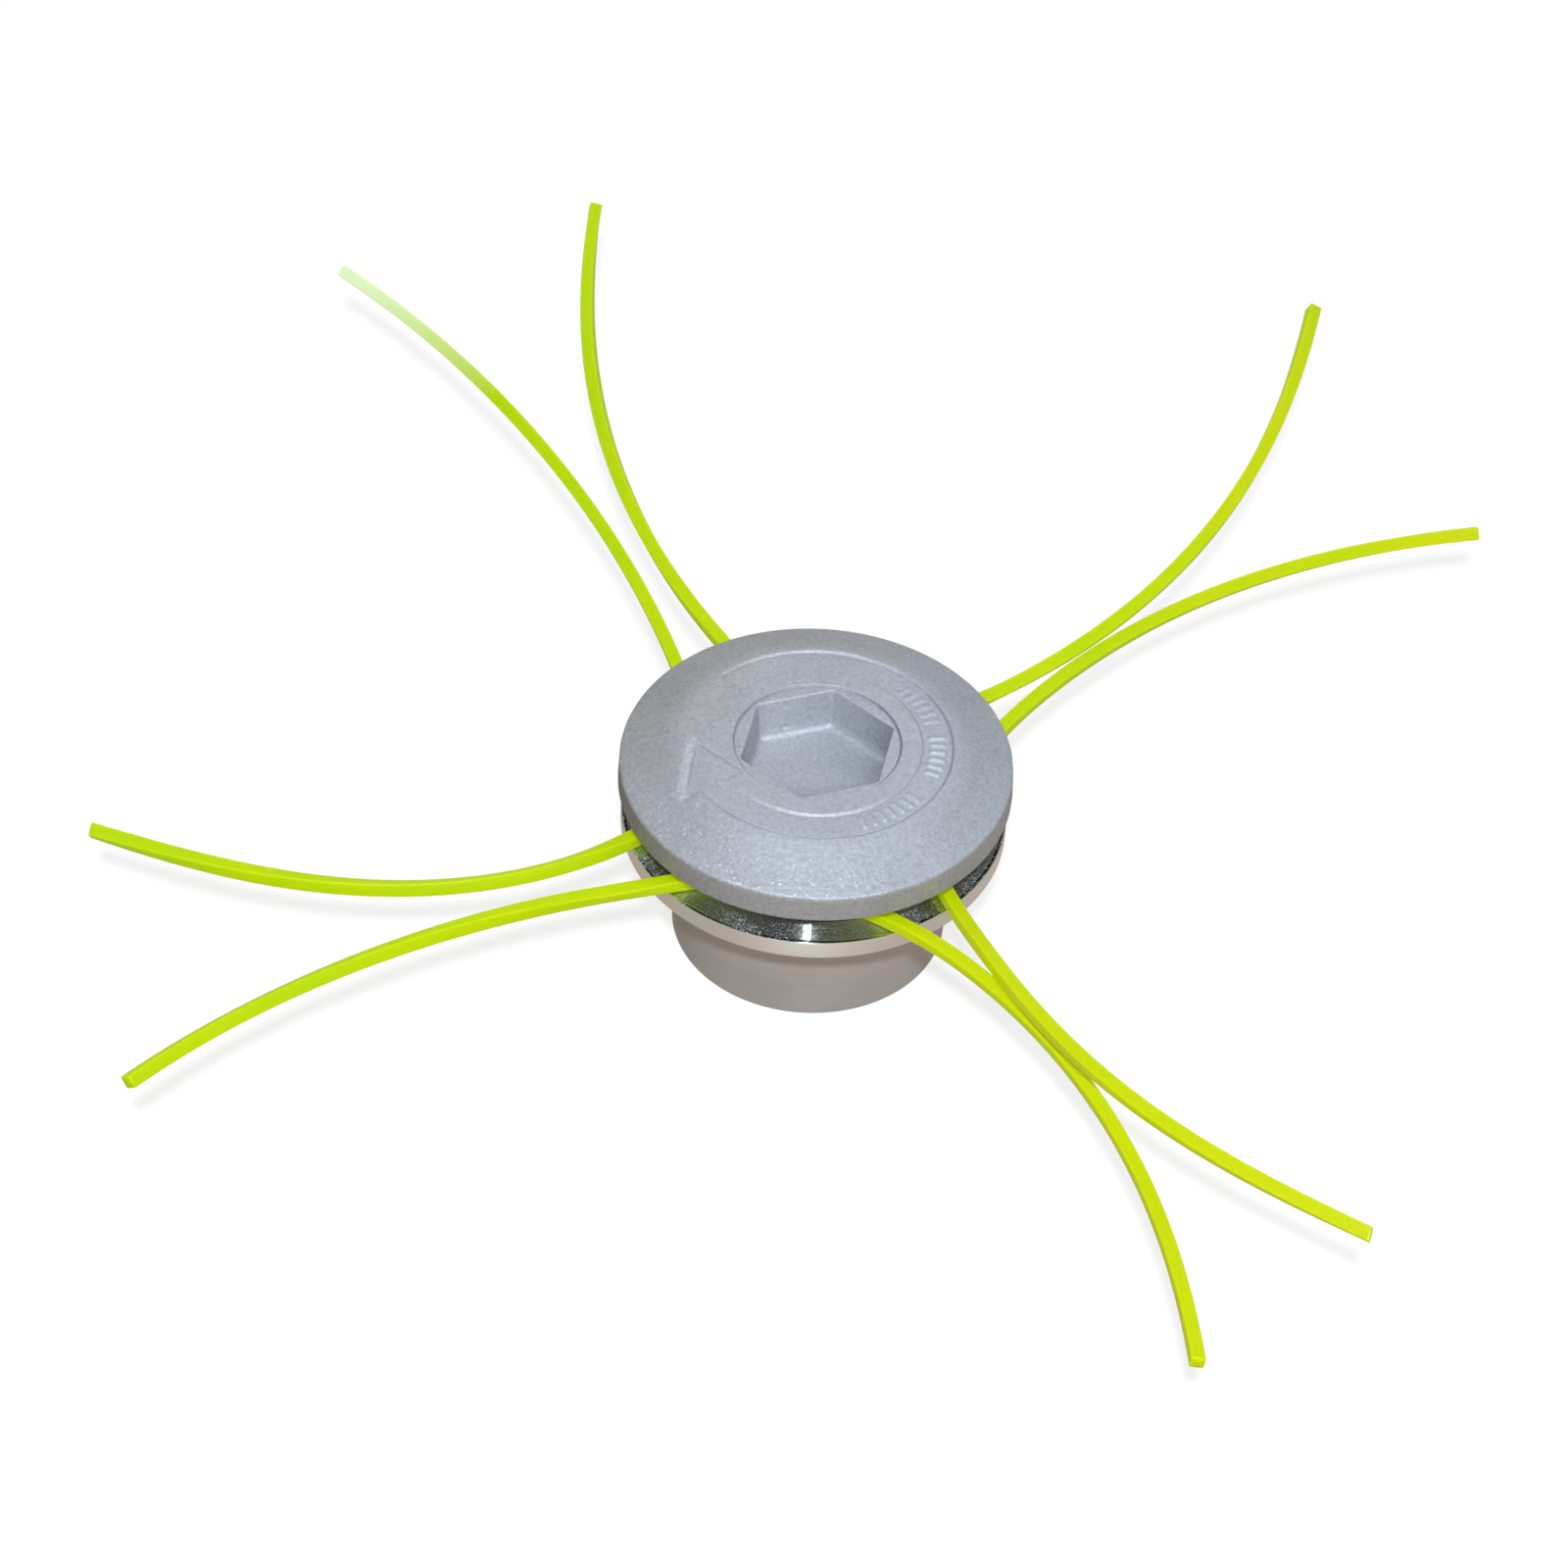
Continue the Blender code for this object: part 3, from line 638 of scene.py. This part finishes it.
def build_cover():
    n = 480
    theta = np.arange(n) * TAU / n
    x0, y0 = np.cos(theta), np.sin(theta)
    rings = [np.array([[0.0, 0.0, FLOOR_Z]])]

    def apothem(z):
        return math.cos(math.radians(30)) * (
            15.4 + 0.8 * (z - FLOOR_Z) / (RECESS_Z - FLOOR_Z))

    # floor, then a fillet into the wall
    blend = 1.4
    foot = apothem(FLOOR_Z) - blend
    for t in (0.12, 0.28, 0.44, 0.6, 0.74, 0.86, 0.94, 1.0):
        r = hex_radius(theta, foot * t, SOCKET_CORNER, 6 + 44 * t)
        uneven = 0.05 * wobble(r * x0, r * y0, 5, 9.0) * (1 - t ** 4)
        rings.append(polar(r, theta, FLOOR_Z + np.clip(uneven, -0.05, 0.1)))
    for i in range(1, 6):
        a = math.pi / 2 * i / 5
        r = hex_radius(theta, foot + blend * math.sin(a), SOCKET_CORNER, 60)
        rings.append(polar(r, theta, FLOOR_Z + blend * (1 - math.cos(a))))
    # walls, with a small pit low on the far left one
    wall_normal = SOCKET_CORNER + math.radians(90)
    for z in np.linspace(FLOOR_Z + blend, RECESS_Z - 0.35, 24)[1:]:
        r = hex_radius(theta, apothem(z), SOCKET_CORNER, 70)
        along = -r * np.sin(theta - wall_normal)
        near = np.cos(theta - wall_normal) > 0.8
        d2 = (along + 2.3) ** 2 + ((z - 41.6) * 0.8) ** 2
        r = r + np.where(near, 0.45 * np.exp(-d2 / 0.35), 0.0)
        d2 = (along + 3.0) ** 2 + ((z - 43.6) * 1.0) ** 2
        r = r + np.where(near, 0.12 * np.exp(-d2 / 0.25), 0.0)
        rings.append(polar(r, theta, z))
    # mouth edge, recessed ring, step up to the top
    edge = 0.35
    for i in range(1, 6):
        a = math.pi / 2 * i / 5
        r = hex_radius(theta, apothem(RECESS_Z) + edge * (1 - math.cos(a)),
                       SOCKET_CORNER, 75)
        rings.append(polar(r, theta, RECESS_Z - edge + edge * math.sin(a)))
    mouth = hex_radius(theta, apothem(RECESS_Z) + edge, SOCKET_CORNER, 75)
    for t in (0.3, 0.65, 1.0):
        rings.append(polar(mouth * (1 - t) + 16.56 * t, theta, RECESS_Z))

    radii = [16.62, 16.68, 16.74, 16.80, 16.86, 16.91, 16.96, 17.01, 17.06,
             17.11, 17.22]
    r = 17.45
    while r < 33.0:
        radii.append(r)
        close = min(abs(r - ARROW_IN), abs(r - ARROW_OUT))
        r += 0.13 if close < 0.45 else 0.27
    radii += list(np.arange(33.3, 38.5, 0.65))
    for r in radii:
        ring_r = np.full(n, r)
        z = top_z(ring_r)
        step = smoothstep(16.86, 17.10, ring_r)
        z = RECESS_Z * (1 - step) + z * step
        z = z - ((0.14 + 0.14 * np.maximum(x0, 0)
                  + 0.05 * np.maximum(-x0, 0))
                 * np.exp(-((ring_r - 16.80) / 0.13) ** 2))
        depth, band = arrow_depth(ring_r, theta)
        z = z - 0.16 * band * np.exp(-((ring_r - 27.22) / 0.14) ** 2)
        z = z - depth + ticks(ring_r, theta) * band
        # faint unevenness of the casting, most on the cone
        uneven = wobble(r * x0, r * y0, 11, 5.0)
        z = z + 0.012 * uneven * smoothstep(17.5, 30.0, r)
        rings.append(polar(ring_r, theta, np.minimum(z, 49.6)))

    side = rounded([
        (38.2, float(top_z(38.2)), 0), (39.72, 44.47, 0.75),
        (39.97, 38.45, 0.55), (38.7, 38.5, 0.25), (32.5, 35.0, 1.2),
        (22.0, 35.0, 0), (10.6, 35.0, 0.3), (10.2, 34.6, 0.2),
        (10.2, 21.0, 0.1), (9.4, 20.2, 0.1), (0.0, 20.2, 0)])
    for r, z in side[1:-1]:
        lift = 0.0
        if r > 38.9 and 38.8 < z < 44.4:
            lift = 0.02 * wobble(40 * x0, 40 * y0 + z, 23, 7.0)
        rings.append(polar(r - 0.02 + lift, theta, z))
    rings.append(np.array([[0.0, 0.0, 20.2]]))
    parts = [skin(rings)]

    # lobes under the cover that the strands are folded round
    m = 64
    phi = np.arange(m) * TAU / m
    for i in range(4):
        a = math.radians(34.0 + 90.0 * i)
        centre = np.array([23.5 * math.cos(a), 23.5 * math.sin(a), 0.0])
        lobe = [(0.0, 36.0), (8.9, 36.0), (8.9, 32.4)]
        lobe += [(8.9 - 0.45 * (1 - math.cos(t)), 32.4 - 0.45 * math.sin(t))
                 for t in (0.5, 1.05, 1.57)]
        lobe.append((0.0, 31.95))
        shape = [np.array([[0.0, 0.0, z]]) if r == 0 else polar(r, phi, z)
                 for r, z in lobe]
        v, f = skin(shape)
        parts.append((v + centre, f))
    return mesh_object("cast_cover", parts, CAST, ["cover"])


# --------------------------------------------------------------------- base
def build_base():
    n = 288
    theta = np.arange(n) * TAU / n
    wall = 24.7
    # profile down the outside and back up the inside
    outer = rounded([
        (10.9, 31.65, 0), (39.2, 31.65, 0.2), (39.2, 27.4, 0.35),
        (28.2, 27.4, 0.7), (28.2, 0.0, 0.45), (wall, 0.0, 0.35),
        (wall, 21.5, 1.0), (12.6, 21.5, 0.8), (12.6, 7.0, 0.45),
        (11.2, 7.0, 0)])
    # fine turning grooves on the flange, where it shows in the gap
    cuts = []
    for r in np.arange(33.4, 38.4, 0.35):
        cuts += [(r + dx, 31.65 - dz) for dx, dz in (
            (-0.05, 0.0), (-0.04, 0.01), (-0.02, 0.045), (0.0, 0.06),
            (0.02, 0.045), (0.04, 0.01), (0.05, 0.0))]
    outer = outer[:1] + cuts + outer[1:]
    rings = []
    for r, z in outer:
        rings.append(polar(r, theta, z))
    # hexagonal pocket for the insert, flats facing +X and -X
    flat = 8.8
    for apo, z in ((9.0, 7.0), (flat, 7.2), (flat, 12.0), (flat, 16.3)):
        rings.append(polar(hex_radius(theta, apo, math.pi / 2, 120),
                           theta, z))
    for r, z in ((5.6, 16.3), (5.6, 19.6), (10.5, 19.6), (10.5, 31.25)):
        rings.append(polar(r, theta, z))
    v, f = skin(rings, loop=True)
    ob = mesh_object("turned_base", [(v, f)], MACHINED,
                     ["base"])
    # everything below the flange has the satin finish
    ob.data.materials.append(SATIN)
    for face in ob.data.polygons:
        if face.center.z < 27.0 * MM:
            face.material_index = 1
    return ob


def build_insert():
    """Steel hexagon with a left-hand thread of 1.25 mm pitch."""
    n = 96
    theta = np.arange(n) * TAU / n
    low, high, pitch = 7.2, 16.0, 1.25
    hexagon = hex_radius(theta, 8.5, math.pi / 2, 120)
    rings = [polar(5.05, theta, high),
             polar(np.minimum(hexagon, 9.2), theta, high),
             polar(hexagon, theta, high - 0.4),
             polar(hexagon, theta, low + 0.4),
             polar(np.minimum(hexagon, 9.2), theta, low),
             polar(5.05, theta, low)]
    for z in np.linspace(low, high, 86):
        turn = (z / pitch + theta / TAU) % 1.0
        groove = 0.62 * smoothstep(0.05, 0.5, 1 - np.abs(2 * turn - 1))
        ends = min(z - low, high - z)
        r = np.maximum(4.33 + groove, 5.05 - ends)
        rings.append(polar(r, theta, z))
    v, f = skin(rings, loop=True)
    return mesh_object("threaded_insert", [(v, f)], STEEL,
                       ["insert"], sharp=30)


# -------------------------------------------------------------------- lines
LOBE_CENTRE_R, LOBE_FIRST = 23.5, math.radians(34.0)
LINE_SIZE, LINE_Z = 2.75, 31.65 + 0.3 + 2.75 / 2
FOLD_R = 8.9 + 0.45 + LINE_SIZE / 2
TIP_BACK = 0.35               # the visual tips stay inside the CAD box
STRANDS = {
    "right": (0, [
        (+1, 10.9, (7.95, 6.17, 1.81), 172.9, (0.10, 90.0, 13.0),
         (-39, 52, -30), 8),
        (-1, 29.6, (5.58, 6.28, 5.08), 146.7, (-0.01, 200.0, 20.0),
         (-8, -40, 4), 0)]),
    "back": (1, [
        (+1, 18.7, (3.54, 3.31, 3.82), 171.9, (0.03, 200.0, 14.0),
         (11, 33, -10), 0),
        (-1, 9.9, (5.71, 4.93, 2.03), 172.9, (0.05, 200.0, 14.0),
         (2, 76, -55), 0)]),
    "left": (2, [
        (-1, 14.7, (12.45, 10.7, 0.81), 125.8, (0.02, 200.0, 14.0),
         (-31, -14, 71), 8),
        (+1, 20.6, (5.47, 4.70, 5.54), 131.8, (0.05, 200.0, 14.0),
         (21, -132, 72), 6)]),
    "front": (3, [
        (-1, 30.6, (10.02, 7.78, 3.87), 134.2, (-0.07, 120.0, 16.0),
         (-13, 5, 10), -6),
        (+1, 8.6, (-3.46, 7.23, 0.88), 135.8, (0.15, 75.0, 12.0),
         (5, -29, -6), 14)]),
}


def tail_path(lobe_angle, side, lean, bends, length, climb, twist):
    """Points and turn of a tail, about 1 mm apart, from lobe to tip."""
    slope, fade, start = climb
    heading = lobe_angle - side * math.radians(lean)
    normal = heading + side * math.pi / 2
    x = LOBE_CENTRE_R * math.cos(lobe_angle) + FOLD_R * math.cos(normal)
    y = LOBE_CENTRE_R * math.sin(lobe_angle) + FOLD_R * math.sin(normal)
    count = round(length)
    fine = 4
    ds = length / (count * fine)
    out = []
    for i in range(count * fine + 1):
        s = i * ds
        if i % fine == 0:
            e = max(0.0, s - start)
            e = e * e / 20.0 if e < 10.0 else e - 5.0
            u = min(1.0, max(0.0, (s - 9.0) / 18.0))
            v = (s - 20.0) / 100.0
            turn = math.radians(twist[0] + twist[1] * v + twist[2] * v * v)
            out.append((x, y, LINE_Z + slope * fade
                        * (1 - math.exp(-e / fade)),
                        turn * u * u * (3 - 2 * u)))
        t = (s + ds / 2) / length
        bend = (bends[0] * (1 - t) * (1 - 2 * t) + bends[1] * 4 * t * (1 - t)
                + bends[2] * t * (2 * t - 1)) / 1000.0
        step = side * bend * ds
        x += math.cos(heading + step / 2) * ds
        y += math.sin(heading + step / 2) * ds
        heading += step
    return out


def line_outline():
    """Square section with softly rounded corners, anticlockwise."""
    half, rad, steps = LINE_SIZE / 2, 0.3, 4
    pts = []
    for k in range(4):
        a0 = k * math.pi / 2
        cx = (half - rad) * (1 if k in (0, 3) else -1)
        cy = (half - rad) * (1 if k in (0, 1) else -1)
        for i in range(steps + 1):
            a = a0 + math.pi / 2 * i / steps
            pts.append((cx + rad * math.cos(a), cy + rad * math.sin(a)))
    return np.array(pts)


def build_strand(name, lobe, tails):
    lobe_angle = LOBE_FIRST + lobe * math.pi / 2
    first, second = (tail_path(lobe_angle, *t[:6]) for t in tails)
    side = tails[0][0]
    cx = LOBE_CENTRE_R * math.cos(lobe_angle)
    cy = LOBE_CENTRE_R * math.sin(lobe_angle)
    a0 = lobe_angle + side * (math.pi / 2 - math.radians(tails[0][1]))
    a1 = (lobe_angle - side * (math.pi / 2 - math.radians(tails[1][1]))
          + side * TAU)
    fold = [(cx + FOLD_R * math.cos(a), cy + FOLD_R * math.sin(a), LINE_Z, 0)
            for a in np.linspace(a0, a1, 42)[1:-1]]
    path = np.array([(x, y, z, -t) for x, y, z, t in first[::-1]]
                    + fold + second)
    points, turn = path[:, :3], path[:, 3]
    tangent = np.gradient(points, axis=0)
    tangent /= np.linalg.norm(tangent, axis=1)[:, None]
    right = np.cross(tangent, (0.0, 0.0, 1.0))
    right /= np.linalg.norm(right, axis=1)[:, None]
    up = np.cross(right, tangent)
    across = (right * np.cos(turn)[:, None] + up * np.sin(turn)[:, None])
    upward = (-right * np.sin(turn)[:, None] + up * np.cos(turn)[:, None])
    outline = line_outline()
    # a trace of uneven thickness along the extrusion
    s = np.arange(len(points))
    swell = 1.0 + 0.006 * np.sin(s / 7.3 + lobe) * np.sin(s / 23.0)
    rings = []
    for i in range(len(points)):
        ring = (points[i] + across[i] * outline[:, :1] * swell[i]
                + upward[i] * outline[:, 1:] * swell[i])
        rings.append(ring)
    # cut ends: slanted, with a slightly crushed edge
    for end, slant, sign in ((0, tails[0][6], -1), (-1, tails[1][6], 1)):
        t = tangent[end] * sign
        horizontal = np.cross(t, (0.0, 0.0, 1.0))
        lean = math.tan(math.radians(slant))

        def cut(ring, back, shrink):
            mid = ring.mean(0)
            ring = mid + (ring - mid) * shrink
            off = (ring - mid) @ horizontal
            return ring - t * back + np.outer(off * lean, t)
        full = rings[end]
        edge = [cut(full, TIP_BACK + 0.5, 1.0), cut(full, TIP_BACK + 0.12, 1.0),
                cut(full, TIP_BACK, 0.93)]
        centre = cut(full, TIP_BACK - 0.03, 0.02).mean(0)[None, :]
        if end == 0:
            rings[0:2] = [centre, edge[2], edge[1], edge[0]]
        else:
            rings[-2:] = [edge[0], edge[1], edge[2], centre]
    v, f = skin(rings)
    return mesh_object("nylon_strand_" + name, [(v, f)], NYLON,
                       ["line_" + name])


build_cover()
build_base()
build_insert()
for strand, (lobe, tails) in STRANDS.items():
    build_strand(strand, lobe, tails)

# ------------------------------------------------- floor, light and camera
bpy.ops.mesh.primitive_plane_add(size=12.0, location=(0, 0, 0))
floor = bpy.context.object
floor.name = "floor"
floor.data.materials.append(floor_material())
# the part is lit from below by the dim warm surroundings, as on a bench
floor.visible_diffuse = False
floor.visible_glossy = False

scene = bpy.context.scene
world = bpy.data.worlds.new("studio")
world.use_nodes = True
scene.world = world
tree = world.node_tree
back = tree.nodes["Background"]
coord = tree.nodes.new("ShaderNodeTexCoord")
split = tree.nodes.new("ShaderNodeSeparateXYZ")
fade = tree.nodes.new("ShaderNodeValToRGB")
points = fade.color_ramp.elements
points.new(0.5)
points.new(0.5)
for point, (place, colour) in zip(points, [
        (0.0, (0.46, 0.40, 0.34)), (0.46, (0.53, 0.47, 0.41)),
        (0.54, (0.45, 0.43, 0.41)), (1.0, (0.53, 0.53, 0.53))]):
    point.position = place
    point.color = (*colour, 1.0)
half = tree.nodes.new("ShaderNodeMath")
half.operation = "MULTIPLY_ADD"
half.inputs[1].default_value = 0.5
half.inputs[2].default_value = 0.5
side = tree.nodes.new("ShaderNodeMath")
side.operation = "MULTIPLY_ADD"
side.inputs[1].default_value = 0.30
side.inputs[2].default_value = 0.94
tree.links.new(coord.outputs["Generated"], split.inputs[0])
tree.links.new(split.outputs["Z"], half.inputs[0])
tree.links.new(half.outputs[0], fade.inputs["Fac"])
# the left is dimmer, but not below the horizon
upper = tree.nodes.new("ShaderNodeMapRange")
upper.inputs["From Min"].default_value = -0.25
upper.inputs["From Max"].default_value = 0.25
upper.inputs["To Min"].default_value = 0.15
tree.links.new(split.outputs["Z"], upper.inputs["Value"])
lean = tree.nodes.new("ShaderNodeMath")
lean.operation = "MULTIPLY"
tree.links.new(split.outputs["X"], lean.inputs[0])
tree.links.new(upper.outputs["Result"], lean.inputs[1])
tree.links.new(lean.outputs[0], side.inputs[0])
tree.links.new(fade.outputs["Color"], back.inputs["Color"])
tree.links.new(side.outputs[0], back.inputs["Strength"])
# the wall behind the floor is as pale as the floor
wall = tree.nodes.new("ShaderNodeBackground")
wall.inputs["Color"].default_value = (0.93, 0.93, 0.93, 1.0)
path = tree.nodes.new("ShaderNodeLightPath")
blend = tree.nodes.new("ShaderNodeMixShader")
tree.links.new(path.outputs["Is Camera Ray"], blend.inputs["Fac"])
tree.links.new(back.outputs[0], blend.inputs[1])
tree.links.new(wall.outputs[0], blend.inputs[2])
tree.links.new(blend.outputs[0],
               tree.nodes["World Output"].inputs["Surface"])


def area_light(name, place, target, size, power, colour=(1, 1, 1)):
    data = bpy.data.lights.new(name, "AREA")
    data.shape = "DISK"
    data.size = size
    data.energy = power
    data.color = colour
    ob = bpy.data.objects.new(name, data)
    bpy.context.scene.collection.objects.link(ob)
    ob.location = place
    direction = [t - p for t, p in zip(target, place)]
    n = math.sqrt(sum(d * d for d in direction))
    yaw = math.atan2(direction[0], -direction[1])
    pitch = math.acos(-direction[2] / n)
    ob.rotation_euler = (pitch, 0, math.pi + yaw)
    ob.visible_camera = False
    return ob


LIGHT_ELEVATION, LIGHT_DISTANCE = math.radians(51.0), 1.5
key = area_light(
    "key", (0.0, -LIGHT_DISTANCE * math.cos(LIGHT_ELEVATION),
            LIGHT_DISTANCE * math.sin(LIGHT_ELEVATION)),
    (0, 0, 0.03), 0.10, 22.0, (0.94, 0.99, 1.06))

fill = area_light("fill", (-0.2, 1.25, 0.55), (0, 0, 0.03), 0.9, 7.0,
                  (1.0, 0.99, 0.97))
fill.visible_glossy = False
low = area_light("low", (0.05, -1.3, 0.12), (0, 0, 0.02), 0.6, 3.7,
                 (1.0, 0.90, 0.80))
low.visible_glossy = False

CAMERA_D, CAMERA_H = 0.725078, 0.728667
YAW, PITCH, ROLL = -0.00868, 0.76164, 0.05055
forward = (math.sin(YAW) * math.cos(PITCH), math.cos(YAW) * math.cos(PITCH),
           -math.sin(PITCH))
forward = np.array(forward)
level = np.array([math.cos(YAW), -math.sin(YAW), 0.0])
above = np.cross(level, forward)
rightward = math.cos(ROLL) * level + math.sin(ROLL) * above
upright = -math.sin(ROLL) * level + math.cos(ROLL) * above
camera_data = bpy.data.cameras.new("camera")
camera_data.lens = 113.64
camera_data.sensor_width = 36.0
camera_data.clip_start = 0.05
camera_data.clip_end = 50.0
camera = bpy.data.objects.new("camera", camera_data)
scene.collection.objects.link(camera)
columns = np.column_stack([rightward, upright, -forward])
matrix = Matrix(columns.tolist()).to_4x4()
matrix.translation = (0.0, -CAMERA_D, CAMERA_H)
camera.matrix_world = matrix
scene.camera = camera
scene.view_settings.view_transform = "Standard"
scene.view_settings.look = "None"
